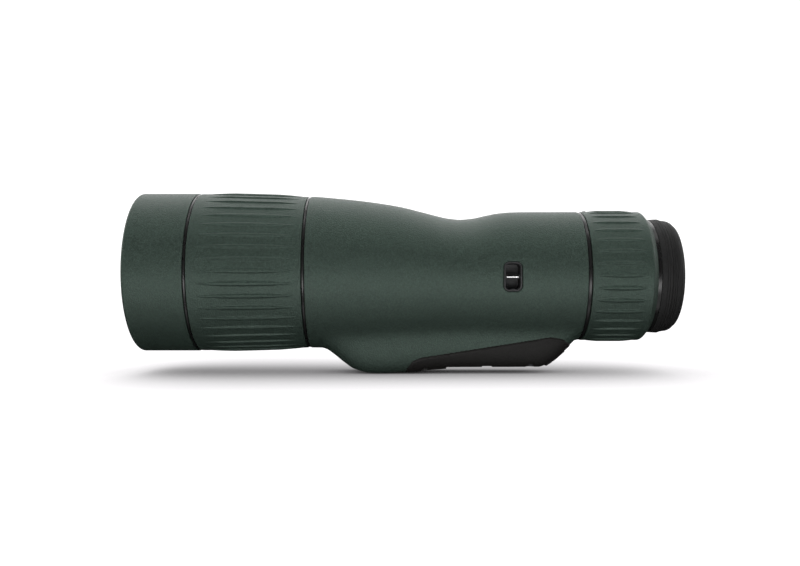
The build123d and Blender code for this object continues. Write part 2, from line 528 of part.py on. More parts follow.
# ---- eyecup ----
parts["eyecup_collar"] = turned(
    [(ZOOM_X1 + GAP, R_TUBE), (ZOOM_X1 + GAP, R_CUP - 0.1, 0.2),
     (COLLAR_X1, R_CUP - 0.1, 0.2), (COLLAR_X1, R_TUBE)], Z_EYE)
click_x0, click_x1 = CUP_X0 + 0.6, CUP_X0 + 2.0
click = tube(click_x0, click_x1, R_TUBE + 1.05, R_TUBE + RUN, Z_EYE)
key = box(click_x0, click_x1, -1.25, 1.25, Z_EYE + 29.1, Z_EYE + 30.4)
parts["eyecup_click_ring"] = click + about_axis(key, Z_EYE, 180)
guide = radial_pin(GUIDE_X, 29.15, 32.2, GUIDE_R, Z_EYE)
parts["eyecup_guide_pin"] = guide
parts["eyecup_sleeve"] = turned(
    [(CUP_X0, R_TUBE + RUN), (CUP_X0, R_CUP, 0.3), (112.1, R_CUP + 0.2, 0.3), (112.1, 31.2),
     (117.7, 31.0), (117.7, R_TUBE + RUN), (click_x1 + 0.05, R_TUBE + RUN),
     (click_x1 + 0.05, R_TUBE + 1.1), (click_x0 - 0.05, R_TUBE + 1.1),
     (click_x0 - 0.05, R_TUBE + RUN)], Z_EYE) - guide
parts["eyecup_rubber"] = turned(
    [(112.1, 31.2), (112.1, 31.6), (112.6, 32.0, 0.2), (116.9, 31.5, 2.0), (CUP_X1, 29.4, 0.8),
     (CUP_X1, 28.2, 0.8), (118.6, 26.4, 0.3), (117.7, 26.4), (117.7, 31.0)], Z_EYE)

for name, solid in parts.items():
    solids = solid.solids()
    print(name, len(solids), round(solid.volume / 1000, 2), solid.is_valid)
    solid.label = name
    export_step(solid, f"parts/{name}.step")
print(len(parts), "parts")
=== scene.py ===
import json
import math

import bpy
import numpy as np
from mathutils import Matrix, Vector


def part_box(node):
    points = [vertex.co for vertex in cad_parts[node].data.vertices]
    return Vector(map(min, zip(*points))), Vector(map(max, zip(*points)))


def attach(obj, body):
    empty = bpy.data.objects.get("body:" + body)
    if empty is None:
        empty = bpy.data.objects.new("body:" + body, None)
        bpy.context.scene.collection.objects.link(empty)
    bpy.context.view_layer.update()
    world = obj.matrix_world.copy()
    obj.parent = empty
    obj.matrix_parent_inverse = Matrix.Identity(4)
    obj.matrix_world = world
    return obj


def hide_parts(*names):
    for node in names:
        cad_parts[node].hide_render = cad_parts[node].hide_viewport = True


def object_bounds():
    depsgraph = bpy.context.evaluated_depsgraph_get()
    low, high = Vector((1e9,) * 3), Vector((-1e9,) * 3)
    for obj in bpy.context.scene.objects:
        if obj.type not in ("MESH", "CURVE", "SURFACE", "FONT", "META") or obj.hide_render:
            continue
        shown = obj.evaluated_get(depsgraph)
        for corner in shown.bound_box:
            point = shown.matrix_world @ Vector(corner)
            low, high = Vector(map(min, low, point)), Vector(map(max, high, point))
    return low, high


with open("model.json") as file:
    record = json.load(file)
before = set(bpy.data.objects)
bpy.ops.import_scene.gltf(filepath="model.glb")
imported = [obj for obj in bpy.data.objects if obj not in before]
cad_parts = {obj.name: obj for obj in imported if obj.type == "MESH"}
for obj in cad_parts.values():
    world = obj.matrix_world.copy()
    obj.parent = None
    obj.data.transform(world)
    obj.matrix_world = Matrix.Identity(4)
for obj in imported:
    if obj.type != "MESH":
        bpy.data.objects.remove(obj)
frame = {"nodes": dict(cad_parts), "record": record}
cad_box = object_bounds()

# Lengths below are millimetres in the frame of the CAD model; MM turns them into metres.
MM = 0.001
Z_OBJ = 53.4            # height of the objective axis
Z_EYE = 51.2            # height of the eyepiece axis
R_BARREL = 38.5         # inside of the two trim rings on the objective barrel
R_TUBE = 29.95          # inside of the rings on the eyepiece tube
HOOD_MOUTH_R = 40.4     # inside of the hood's rubber lip
HOOD_SLEEVE_R = 43.0    # inside of the hood's rubber sleeve
HOOD_LIP = 1.1          # thickness of the lip along X
FOCUS_RADII = (44.85, 44.35, 43.25)     # outside of the focus ring: front, middle, rear
FOCUS_INNER = (42.9, 41.3)              # inside of its rubber: front, rear
ZOOM_R = 36.8           # outside of the zoom ring between its ribs
ZOOM_CORE_R = 34.8      # inside of its rubber
ZOOM_REAR_R = 33.3      # small end of its rear chamfer
ZOOM_MOUTH_R = 32.0     # inside of its rear lip
RIB_HEIGHT = 0.65
SLEEVE_X1 = 112.1       # where the eyecup's sleeve meets its soft rim
SLEEVE_BORE = 30.0


def extent(node):
    """First and last station of a CAD node along X, and its greatest radius, in mm."""
    low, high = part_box(node)
    return low[0] / MM, high[0] / MM, (high[1] - low[1]) / 2 / MM


# ---------------------------------------------------------------- meshes
def rounded(corners, steps=6):
    """Closed outline through (x, y, round) corners, as an array of points."""
    points = []
    count = len(corners)
    for i, corner in enumerate(corners):
        here = np.array(corner[:2], float)
        radius = corner[2] if len(corner) > 2 else 0.0
        if radius <= 0:
            points.append(here)
            continue
        before = np.array(corners[i - 1][:2], float) - here
        after = np.array(corners[(i + 1) % count][:2], float) - here
        before /= np.linalg.norm(before)
        after /= np.linalg.norm(after)
        half = math.acos(np.clip(before @ after, -1, 1)) / 2
        back = radius / math.tan(half)
        middle = before + after
        centre = here + middle / np.linalg.norm(middle) * radius / math.sin(half)
        first, last = here + before * back - centre, here + after * back - centre
        turn = math.pi - 2 * half
        for k in range(steps + 1):
            t = k / steps
            points.append(centre + (math.sin((1 - t) * turn) * first
                                    + math.sin(t * turn) * last) / math.sin(turn))
    return np.array(points)


def refined(outline, step):
    """The closed outline with its long stretches divided."""
    points = []
    for a, b in zip(outline, np.roll(outline, -1, axis=0)):
        parts = max(1, int(np.linalg.norm(b - a) / step))
        for k in range(parts):
            points.append(a + (b - a) * k / parts)
    return np.array(points)


def grid_faces(rows, cols, close_rows, close_cols):
    """Quads of a grid of points, joined end to end where asked."""
    r = np.arange(rows if close_rows else rows - 1)
    c = np.arange(cols if close_cols else cols - 1)
    r, c = np.meshgrid(r, c, indexing="ij")
    r2, c2 = (r + 1) % rows, (c + 1) % cols
    quads = np.stack([r * cols + c, r * cols + c2, r2 * cols + c2, r2 * cols + c], axis=-1)
    return quads.reshape(-1, 4)


def open_grid(points, gap, move, close_cols):
    """Points and faces of a grid with a smooth-edged hole where gap is negative.

    gap holds each point's distance from the hole's edge. Points next to the hole go to
    their places in move, which lie on the edge. Both have the grid's shape.
    """
    gone = gap <= 0
    pad = np.pad(gone, 1, mode="wrap" if close_cols else "edge")
    pad[0], pad[-1] = pad[1], pad[-2]
    rows, cols = gap.shape
    beside = np.zeros(gone.shape, bool)
    for i in range(3):
        for j in range(3):
            beside |= pad[i:i + rows, j:j + cols]
    points = np.where(beside[..., None], move, points).reshape(-1, 3)
    kept = ~gone.ravel()
    faces = grid_faces(rows, cols, False, close_cols)
    corners = kept[faces].sum(axis=1)
    kept_faces = faces[corners == 4].tolist()
    kept_faces += [[v for v in face if kept[v]] for face in faces[corners == 3].tolist()]
    used = np.unique([v for face in kept_faces for v in face])
    place = np.full(len(points), -1)
    place[used] = np.arange(len(used))
    return points[used], [[place[v] for v in face] for face in kept_faces]


def add_piece(name, points, faces, body, material, nodes=(), smooth_angle=None):
    """New mesh object from points in mm, riding on a body and standing for CAD nodes."""
    mesh = bpy.data.meshes.new(name)
    mesh.from_pydata((np.asarray(points) * MM).tolist(), [], [list(map(int, f)) for f in faces])
    mesh.validate()
    mesh.polygons.foreach_set("use_smooth", [True] * len(mesh.polygons))
    if smooth_angle:
        mesh.set_sharp_from_angle(angle=math.radians(smooth_angle))
    mesh.materials.append(material)
    piece = bpy.data.objects.new(name, mesh)
    bpy.context.scene.collection.objects.link(piece)
    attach(piece, body)
    if nodes:
        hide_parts(*nodes)
    return piece


def lathe(name, outline, axis_z, body, material, nodes=(), around=256, shape=None):
    """Ring turned about an optical axis from a closed outline of (x, radius) points.

    The outline runs along +X on its outer side. shape, if given, maps the columns of x and
    radius to arrays of radius and angle round the ring.
    """
    outline = np.asarray(outline, float)
    x, r = outline[:, :1], outline[:, 1:2]
    if shape:
        r, a = shape(x, r)
    else:
        a = np.linspace(0, 2 * math.pi, around, endpoint=False)[None, :]
    x, r, a = np.broadcast_arrays(x, r, a)
    points = np.stack([x, r * np.sin(a), axis_z + r * np.cos(a)], axis=-1).reshape(-1, 3)
    faces = grid_faces(*x.shape, True, True)[:, ::-1]
    piece = add_piece(name, points, faces, body, material, nodes)
    weigh_normals(piece)
    return piece


def weigh_normals(piece):
    """Shading that follows the large faces and keeps small rounded edges crisp."""
    modifier = piece.modifiers.new("weighted", "WEIGHTED_NORMAL")
    modifier.keep_sharp = True
    modifier.weight = 80


# ---------------------------------------------------------------- body surface
TOP_LINE = [(-85.7, 96.7), (-69.7, 95.55), (-52.4, 93.65), (-35.1, 90.9), (-21.3, 87.5),
            (-14.4, 85.7), (-7.5, 84.2), (-0.6, 83.6), (6.3, 84.2), (13.2, 85.65),
            (20.2, 87.05), (27.5, 87.75), (35.0, 87.95), (65.8, 88.0)]
UNDER_LINE = [(-85.7, 10.1), (-80.0, 10.05), (-76.6, 9.2), (-72.0, 6.4), (-66.0, 1.8),
              (-61.0, -1.5), (-52.0, -3.65), (-44.0, -3.75), (-30.0, -2.9), (-16.0, -1.5),
              (0.0, -0.7), (40.0, -0.3), (44.0, 0.2), (49.0, 2.3), (57.4, 8.8),
              (61.1, 12.0), (63.6, 13.9), (65.8, 14.4)]
HALF_WIDTH = [(-85.7, 43.3), (-60.0, 42.6), (-30.0, 40.4), (-5.0, 38.2), (15.0, 37.6),
              (40.0, 37.4), (65.8, 36.8)]
KEEL_WIDTH = [(-85.7, 25.0), (-45.0, 24.0), (0.0, 22.0), (65.8, 21.5)]
KEEL_SQUARE, KEEL_BLEND = 4.2, 13.0
BODY_X0, BODY_X1 = -85.7, 65.8


def along(table, x):
    """Smooth curve without overshoot through a table of (x, value), at an array of x."""
    xs, vs = np.array(table).T
    step = np.diff(xs)
    slope = np.diff(vs) / step
    tangent = np.zeros(len(xs))
    a, b = slope[:-1], slope[1:]
    with np.errstate(divide="ignore", invalid="ignore"):
        tangent[1:-1] = np.where(a * b > 0, 2 * a * b / (a + b), 0.0)
    x = np.clip(x, xs[0], xs[-1])
    i = np.clip(np.searchsorted(xs, x, side="right") - 1, 0, len(step) - 1)
    t = (x - xs[i]) / step[i]
    return ((1 + 2 * t) * (1 - t) ** 2 * vs[i] + t * t * (3 - 2 * t) * vs[i + 1]
            + step[i] * (t * (1 - t) ** 2 * tangent[i] - t * t * (1 - t) * tangent[i + 1]))


def body_points(x, angle, grow):
    """Points of the body's skin at stations x and angles from +Y towards +Z, grown by grow."""
    blend = np.clip((x + 60.0) / 105.0, 0, 1)
    centre = Z_OBJ + (Z_EYE - Z_OBJ) * blend * blend * (3 - 2 * blend)
    half = along(HALF_WIDTH, x) + grow
    top = along(TOP_LINE, x) - centre + grow
    drop = np.maximum(centre - along(UNDER_LINE, x) + grow, half)
    keel = along(KEEL_WIDTH, x) + grow
    depth = np.maximum(drop ** KEEL_BLEND - half ** KEEL_BLEND, 0) ** (1 / KEEL_BLEND)
    c, s = np.abs(np.cos(angle)), np.abs(np.sin(angle))
    upper = 1 / np.hypot(c / half, s / top)
    k = ((c / keel) ** KEEL_SQUARE
         + (s / np.maximum(depth, 1e-3)) ** KEEL_SQUARE) ** (-1 / KEEL_SQUARE)
    k = np.where(depth > 1.0, k, 0.0)
    lower = (half ** KEEL_BLEND + k ** KEEL_BLEND) ** (1 / KEEL_BLEND)
    r = np.where(np.sin(angle) >= 0, upper, lower)
    return np.stack([x, r * np.cos(angle), centre + r * np.sin(angle)], axis=-1)


def edge_round(distance, radius):
    """How far a rounded edge drops below the surface, at a distance inside the edge."""
    d = np.clip(radius - distance, 0, radius)
    return radius - np.sqrt(radius ** 2 - d ** 2)


# ---------------------------------------------------------------- materials
class Nodes:
    """Short way to write a material's node tree."""

    def __init__(self, name):
        self.material = bpy.data.materials.new(name)
        self.material.use_nodes = True
        self.tree = self.material.node_tree
        self.shader = self.tree.nodes["Principled BSDF"]
        self.place = self.add("ShaderNodeTexCoord").outputs["Object"]

    def add(self, kind, inputs=None, **settings):
        """New node with its settings; an input that is a socket is linked."""
        node = self.tree.nodes.new(kind)
        for key, value in settings.items():
            setattr(node, key, value)
        for key, value in (inputs or {}).items():
            if isinstance(value, bpy.types.NodeSocket):
                self.tree.links.new(value, node.inputs[key])
            else:
                node.inputs[key].default_value = value
        return node

    def set(self, **values):
        """Shader sockets by name with _ for a space; a socket links, a number is set."""
        for key, value in values.items():
            socket = self.shader.inputs[key.replace("_", " ")]
            if isinstance(value, bpy.types.NodeSocket):
                self.tree.links.new(value, socket)
            else:
                socket.default_value = value

    def noise(self, size, detail=3.0, rough=0.55, stretch=(1, 1, 1)):
        """Noise whose features are about size mm."""
        mapped = self.add("ShaderNodeMapping", {"Vector": self.place, "Scale": stretch})
        node = self.add("ShaderNodeTexNoise", {"Vector": mapped.outputs[0],
                                               "Scale": 1 / (size * MM), "Detail": detail,
                                               "Roughness": rough})
        return node.outputs["Fac"]

    def cells(self, size):
        """Pebbles about size mm across, as a height."""
        node = self.add("ShaderNodeTexVoronoi", {"Vector": self.place,
                                                 "Scale": 1 / (size * MM)})
        return node.outputs["Distance"]

    def span(self, value, low, high, start=0.0, end=1.0):
        """The value's range start..end spread over low..high."""
        node = self.add("ShaderNodeMapRange", {"Value": value, "From Min": start,
                                               "From Max": end, "To Min": low,
                                               "To Max": high})
        return node.outputs["Result"]

    def mix(self, factor, a, b):
        """Colour a at factor 0 and b at 1."""
        node = self.add("ShaderNodeMix", data_type="RGBA")
        for socket, value in ((node.inputs[0], factor), (node.inputs[6], a),
                              (node.inputs[7], b)):
            if isinstance(value, bpy.types.NodeSocket):
                self.tree.links.new(value, socket)
            elif isinstance(value, tuple):
                socket.default_value = (*value, 1.0)
            else:
                socket.default_value = value
        return node.outputs[2]

    def math(self, operation, a, b):
        """One arithmetic step."""
        node = self.add("ShaderNodeMath", {0: a, 1: b}, operation=operation)
        return node.outputs[0]

    def bump(self, height, depth, strength=1.0, under=None):
        """Normal of a height of depth mm, laid over another normal if given."""
        inputs = {"Height": height, "Distance": depth * MM, "Strength": strength}
        if under:
            inputs["Normal"] = under
        return self.add("ShaderNodeBump", inputs).outputs["Normal"]

    def edges(self, low=0.5, high=0.56):
        """Mask of raised edges, where wear shows."""
        geometry = self.add("ShaderNodeNewGeometry")
        return self.span(geometry.outputs["Pointiness"], 0.0, 1.0, low, high)


def shade(colour, factor):
    """The colour made darker or lighter by a factor."""
    return tuple(min(1.0, c * factor) for c in colour)


def moulded(name, colour, rough=0.48, grain=0.8, depth=0.1, wear=0.2, specular=0.5,
            gloss_tint=(1.0, 1.0, 1.0)):
    """Grained rubber or plastic: pebbled skin, mottled colour, rubbed edges."""
    n = Nodes(name)
    broad = n.noise(22.0, 3.0)
    mottle = n.noise(grain * 1.4, 3.0, 0.6)
    fine = n.noise(grain * 0.35, 2.0, 0.6)
    tint = n.mix(n.span(broad, 0, 1, 0.35, 0.65), shade(colour, 0.93), shade(colour, 1.07))
    tint = n.mix(n.span(mottle, 0, 1, 0.38, 0.66), shade(colour, 0.5), tint)
    tint = n.mix(n.span(fine, 0, 0.85, 0.5, 0.72), tint, shade(colour, 2.2))
    tint = n.mix(n.math("MULTIPLY", n.edges(), wear), tint, shade(colour, 1.6))
    height = n.math("ADD", n.span(n.cells(grain), 0, 1, 0.0, 0.7),
                    n.math("MULTIPLY", fine, 0.5))
    n.set(Base_Color=tint, Specular_IOR_Level=specular, Specular_Tint=(*gloss_tint, 1.0),
          Roughness=n.span(mottle, rough - 0.06, rough + 0.08, 0.3, 0.7),
          Normal=n.bump(height, depth, 1.0))
    return n.material


def glossy(name, colour, rough):
    """Polished black anodised metal with faint turning marks and finger haze."""
    n = Nodes(name)
    haze = n.noise(9.0, 4.0)
    marks = n.noise(0.12, 2.0, 0.5, (1, 0.02, 0.02))
    n.set(Base_Color=n.mix(haze, shade(colour, 0.8), shade(colour, 1.3)),
          Roughness=n.span(haze, rough - 0.03, rough + 0.07, 0.35, 0.7),
          Normal=n.bump(marks, 0.004, 0.3), Specular_IOR_Level=0.5)
    return n.material


def metal(name, colour, rough, marks_depth=0.004):
    """Machined metal with fine turning marks."""
    n = Nodes(name)
    marks = n.noise(0.2, 3.0, 0.6, (1, 0.05, 0.05))
    haze = n.noise(4.0, 3.0)
    n.set(Base_Color=n.mix(haze, shade(colour, 0.9), shade(colour, 1.08)),
          Roughness=n.span(haze, rough - 0.05, rough + 0.1, 0.3, 0.7), Metallic=1.0,
          Normal=n.bump(marks, marks_depth, 0.5))
    return n.material


def anodised(name, colour, rough=0.5):
    """Matte black anodised alloy."""
    n = Nodes(name)
    haze = n.noise(6.0, 4.0)
    fine = n.noise(0.15, 2.0)
    n.set(Base_Color=n.mix(haze, shade(colour, 0.8), shade(colour, 1.25)),
          Roughness=n.span(haze, rough - 0.05, rough + 0.1, 0.3, 0.7), Metallic=0.3,
          Normal=n.bump(fine, 0.01, 0.4))
    return n.material


def coated_glass(name):
    """Optical glass with a green and violet anti-reflection coating."""
    n = Nodes(name)
    facing = n.add("ShaderNodeLayerWeight", {"Blend": 0.35}).outputs["Facing"]
    dust = n.noise(0.8, 2.0)
    n.set(Base_Color=n.mix(facing, (0.93, 0.97, 0.95), (0.9, 0.86, 0.97)),
          Roughness=n.span(dust, 0.0, 0.03, 0.4, 0.8), IOR=1.52, Transmission_Weight=1.0,
          Coat_Weight=0.5, Coat_Roughness=0.02, Coat_Tint=(0.9, 1.0, 0.94, 1.0))
    return n.material


GREEN = (0.020, 0.031, 0.025)
finishes = {
    "armour_green": moulded("green_rubber", GREEN, gloss_tint=(0.78, 1.0, 0.88)),
    "rubber_black": moulded("black_rubber", (0.010, 0.010, 0.010), 0.6, 0.6, 0.04, 0.15, 0.2),
    "trim_gloss": glossy("gloss_black", (0.006, 0.006, 0.006), 0.27),
    "black_anodised": anodised("black_alloy", (0.012, 0.012, 0.013)),
    "housing_black": moulded("black_plastic", (0.016, 0.016, 0.017), 0.55, 0.5, 0.02, 0.1),
    "foot_black": moulded("foot_black", (0.008, 0.0075, 0.007), 0.55, 0.5, 0.04, 0.2, 0.2),
    "steel_bright": metal("polished_steel", (0.88, 0.88, 0.89), 0.22),
    "screw_black": metal("black_oxide", (0.05, 0.05, 0.055), 0.45),
    "brass_bush": metal("machined_brass", (0.72, 0.55, 0.26), 0.3),
    "optical_glass": coated_glass("coated_glass"),
    "seal_black": moulded("seal_rubber", (0.012, 0.012, 0.012), 0.45, 0.4, 0.01, 0.05),
}
slot_of = {entry["node"]: entry["material_slot"] for entry in frame["record"]["subparts"]}
for node, thing in frame["nodes"].items():
    thing.data.materials.clear()
    thing.data.materials.append(finishes[slot_of[node]])
    thing.data.polygons.foreach_set("use_smooth", [True] * len(thing.data.polygons))
    thing.data.set_sharp_from_angle(angle=math.radians(28))


# ---------------------------------------------------------------- hood
def hood():
    """Rubber sleeve of the hood with a rolled front rim."""
    x0, x1, r = extent("hood_armour")
    outline = rounded([(x0, HOOD_MOUTH_R, 0.5), (x0, r, 1.9), (x1, r, 0.45),
                       (x1, HOOD_SLEEVE_R), (x0 + HOOD_LIP, HOOD_SLEEVE_R),
                       (x0 + HOOD_LIP, HOOD_MOUTH_R, 0.1)], 10)
    lathe("hood_rubber", refined(outline, 2.0), Z_OBJ, "scope",
          finishes["armour_green"], ["hood_armour"], 320)


def trim(name, node, axis_z, r_in, around=320, bead=0.7):
    """Polished ring with rounded shoulders between two armour sections."""
    x0, x1, r = extent(node)
    outline = rounded([(x0, r_in), (x0, r, bead), (x1, r, bead), (x1, r_in)], 6)
    lathe(name, refined(outline, 1.5), axis_z, "scope",
          finishes["trim_gloss"], [node], around)


# ---------------------------------------------------------------- grip rings
def ribs(x, start, end, count, half_width, height, radius, flank=0.75):
    """Angles round a ring and heights that draw slim raised spindles, for a column of x.

    half_width is half of a spindle's flat crest and flank the width of each of its sides.
    """
    t = np.clip((x - start) / (end - start), 0, 1)
    taper = np.maximum(np.sin(math.pi * t) ** 0.8, 0.03)
    crest = half_width * taper
    foot = crest + flank * np.sqrt(taper)
    half_pitch = math.pi * radius / count
    steps = np.linspace(0, 1, 6)[None, :]
    side = np.concatenate([0.5 * crest, crest + (foot - crest) * steps,
                           foot + (half_pitch - foot) * np.array([[0.3, 0.65]])], axis=1)
    offset = np.concatenate([-side[:, ::-1], 0 * x, side, half_pitch + 0 * x], axis=1)
    rise = np.clip((foot - np.abs(offset)) / (foot - crest), 0, 1)
    rise = 0.7 * rise + 0.3 * rise * rise * (3 - 2 * rise)
    rise = height * rise * np.clip(1.35 * taper - 0.04, 0, 1)
    place = 2 * math.pi * (np.arange(count) + 0.5) / count
    angle = (offset[:, None, :] / radius + place[None, :, None]).reshape(len(x), -1)
    return angle, np.tile(rise, (1, count))


def ring_outline(stations, radius_at, inner, edge_radius):
    """Closed outline of a rubber sleeve: outer skin over stations, then a plain inner face."""
    outer = [(x, radius_at(x) - float(edge_round(min(x - stations[0], stations[-1] - x),
                                                 edge_radius))) for x in stations]
    first, last = stations[0], stations[-1]
    inner_face = [(last - (last - first) * k / 12, inner(last - (last - first) * k / 12))
                  for k in range(13)]
    return np.array(outer + inner_face)


def spread(x0, x1, step, edge=0.5):
    """Stations from x0 to x1, closer together at both ends."""
    close = np.array([0, 0.04, 0.1, 0.18, 0.28, 0.4]) * edge / 0.4
    middle = np.linspace(x0 + edge, x1 - edge, max(2, int((x1 - x0 - 2 * edge) / step)))
    return np.concatenate([x0 + close[:-1], middle, (x1 - close[:-1])[::-1]])


def focus_ring():
    """Tapering ribbed sleeve of the focus ring."""
    x0, x1, _ = extent("focus_ring_armour")
    front, middle, rear = FOCUS_RADII
    inner_front, inner_rear = FOCUS_INNER

    def radius_at(x):
        t = (x - x0) / (x1 - x0)
        return front * (1 - t) * (1 - 2 * t) + 4 * middle * t * (1 - t) + rear * t * (2 * t - 1)

    def inner(x):
        return inner_front + (inner_rear - inner_front) * (x - x0) / (x1 - x0)

    outline = ring_outline(spread(x0, x1, 0.6), radius_at, inner, 0.45)

    def shape(x, r):
        angle, rise = ribs(x, x0 + 5.0, x1 - 3.0, count=42, half_width=0.55,
                           height=RIB_HEIGHT, radius=44.0)
        on_outside = r > inner(x) + 0.5
        return r + np.where(on_outside, rise, 0), angle

    lathe("focus_grip", outline, Z_OBJ, "focus_ring",
          finishes["armour_green"], ["focus_ring_armour"], shape=shape)


def zoom_ring():
    """Ribbed sleeve of the zoom ring with its chamfered rear edge."""
    x0, x1, _ = extent("zoom_ring_armour")
    shoulder, lip = x1 - 3.1, x1 - 1.5
    outline = rounded([(x0, ZOOM_CORE_R), (x0, ZOOM_R, 0.45), (shoulder, ZOOM_R, 1.8),
                       (x1, ZOOM_REAR_R, 0.5), (x1, ZOOM_MOUTH_R), (lip, ZOOM_MOUTH_R),
                       (lip, ZOOM_CORE_R)], 8)
    outline = refined(outline, 0.5)

    def shape(x, r):
        angle, rise = ribs(x, x0 + 2.6, x0 + 29.4, count=34, half_width=0.5,
                           height=RIB_HEIGHT, radius=ZOOM_R)
        on_outside = r > ZOOM_R - 0.2
        return r + np.where(on_outside, rise, 0), angle

    lathe("zoom_grip", outline, Z_EYE, "zoom_ring",
          finishes["armour_green"], ["zoom_ring_armour"], shape=shape)


def index_pip():
    """Round-topped index pip that stands on the zoom ring."""
    around, soften = 40, 0.5
    low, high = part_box("zoom_index_pip")
    centre = (low[0] + high[0]) / 2 / MM
    base, tip, pip = low[2] / MM, high[2] / MM, (high[0] - low[0]) / 2 / MM
    t = np.linspace(0, math.pi / 2, 9)
    side = [(pip, base), (pip, tip - soften)] + [
        (pip - soften + soften * math.cos(k), tip - soften + soften * math.sin(k)) for k in t[1:]]
    side = np.array(side + [(0.25, tip)])
    angle = np.linspace(0, 2 * math.pi, around, endpoint=False)
    points = np.stack([centre + side[:, :1] * np.cos(angle), side[:, :1] * np.sin(angle),
                       np.repeat(side[:, 1:], around, axis=1)], axis=-1).reshape(-1, 3)
    faces = [list(f) for f in grid_faces(len(side), around, False, True)]
    top = (len(side) - 1) * around
    faces += [list(range(top, top + around)), list(range(around - 1, -1, -1))]
    add_piece("zoom_pip", points, faces, "zoom_ring",
              finishes["rubber_black"], ["zoom_index_pip"])


# ---------------------------------------------------------------- body armour
POCKET_X, POCKET_Z, POCKET_W, POCKET_H, POCKET_R = 25.2, 50.6, 10.2, 16.3, 3.2
RUBBER_THICK = 2.0


def rect_distance(x, z, width, height, radius):
    """Signed distance from a rounded rectangle round the pocket, negative inside."""
    qx = np.abs(x - POCKET_X) - width / 2 + radius
    qz = np.abs(z - POCKET_Z) - height / 2 + radius
    return (np.hypot(np.maximum(qx, 0), np.maximum(qz, 0))
            + np.minimum(np.maximum(qx, qz), 0) - radius)


def armour():
    """Rubber skin of the body, one shell with holes for the strap pockets and the foot."""
    stations = spread(BODY_X0, BODY_X1, 0.55)
    angle = np.linspace(0, 2 * math.pi, 460, endpoint=False) + math.pi / 2
    nudge, reach = 0.01, 3.0        # step of the slope, and how far a pocket can move points
    x, a = np.meshgrid(stations, angle, indexing="ij")
    ends = np.minimum(x - BODY_X0, BODY_X1 - x)
    points = body_points(x, a, -edge_round(ends, 0.5))
    px, pz = points[..., 0], points[..., 2]
    gap = rect_distance(px, pz, POCKET_W, POCKET_H, POCKET_R)
    away_x = (rect_distance(px + nudge, pz, POCKET_W, POCKET_H, POCKET_R) - gap) / nudge
    away_z = (rect_distance(px, pz + nudge, POCKET_W, POCKET_H, POCKET_R) - gap) / nudge
    new_x, new_z = px - gap * away_x, pz - gap * away_z
    move = np.stack([new_x, np.sign(points[..., 1]) * side_depth(new_x, new_z), new_z], axis=-1)
    move = np.where((gap < reach)[..., None], move, points)
    under_shoe = outline_distance(px, pz, rounded(SHOE_EDGE, 8))
    gap = np.minimum(gap, SHOE_OVERLAP - under_shoe)
    points, faces = open_grid(points, gap, move, True)
    piece = add_piece("body_rubber", points, faces, "scope",
                      finishes["armour_green"], ["body_armour"])
    shell = piece.modifiers.new("thickness", "SOLIDIFY")
    shell.thickness = RUBBER_THICK * MM
    shell.offset = -1.0
    weigh_normals(piece)


# ---------------------------------------------------------------- foot
SHOE_EDGE = [(-33.5, -12.0), (-31.5, -1.0, 3), (-28.5, 3.6, 3), (-24.0, 5.8, 6),
             (41.0, 16.2, 12), (48.0, 17.4, 8), (55.0, 16.2, 8), (61.0, 12.0), (70.0, 0.0),
             (70.0, -12.0)]
SHOE_PROUD = 0.6
SHOE_OVERLAP = 2.0      # how far the rubber skin runs on under the shoe
SHOE_LIP = 0.55         # rounding of the shoe's edge
SHOE_SUNK = 0.9         # how deep the shoe's hidden margin lies below the lip
SHOE_MARGIN = 0.35      # width of that margin
SHOE_THICK = 2.2
SHOE_SPAN = (-34.5, 63.5)       # grid of the shoe, past its outline at both ends
SHOE_SWEEP = 68         # degrees of the grid either side of straight down
FLAT_X = (-9.0, 43.0)   # flat pad that stands on a tripod plate
GROOVE_X = (11.0, 16.7)
GROOVE_DEPTH = 0.6
# (x, y, radius) of the bush, the anti-twist hole and the screw recesses
FOOT_HOLES = [(0.0, 0.0, 5.5), (22.0, 0.0, 2.5)] + [
    (x, y, 2.75) for x in (-21.0, 38.0) for y in (-12.0, 12.0)]


def outline_distance(x, z, outline):
    """Signed distance inside a closed outline in the side view, positive inside."""
    a = outline
    b = np.roll(outline, -1, axis=0)
    best = np.full(x.shape, 1e9)
    inside = np.zeros(x.shape, bool)
    for (x0, z0), (x1, z1) in zip(a, b):
        dx, dz = x1 - x0, z1 - z0
        t = np.clip(((x - x0) * dx + (z - z0) * dz) / (dx * dx + dz * dz), 0, 1)
        best = np.minimum(best, np.hypot(x - x0 - t * dx, z - z0 - t * dz))
        if z0 != z1:
            crosses = (z0 > z) != (z1 > z)
            inside ^= crosses & (x < x0 + (z - z0) * dx / dz)
    return np.where(inside, best, -best)


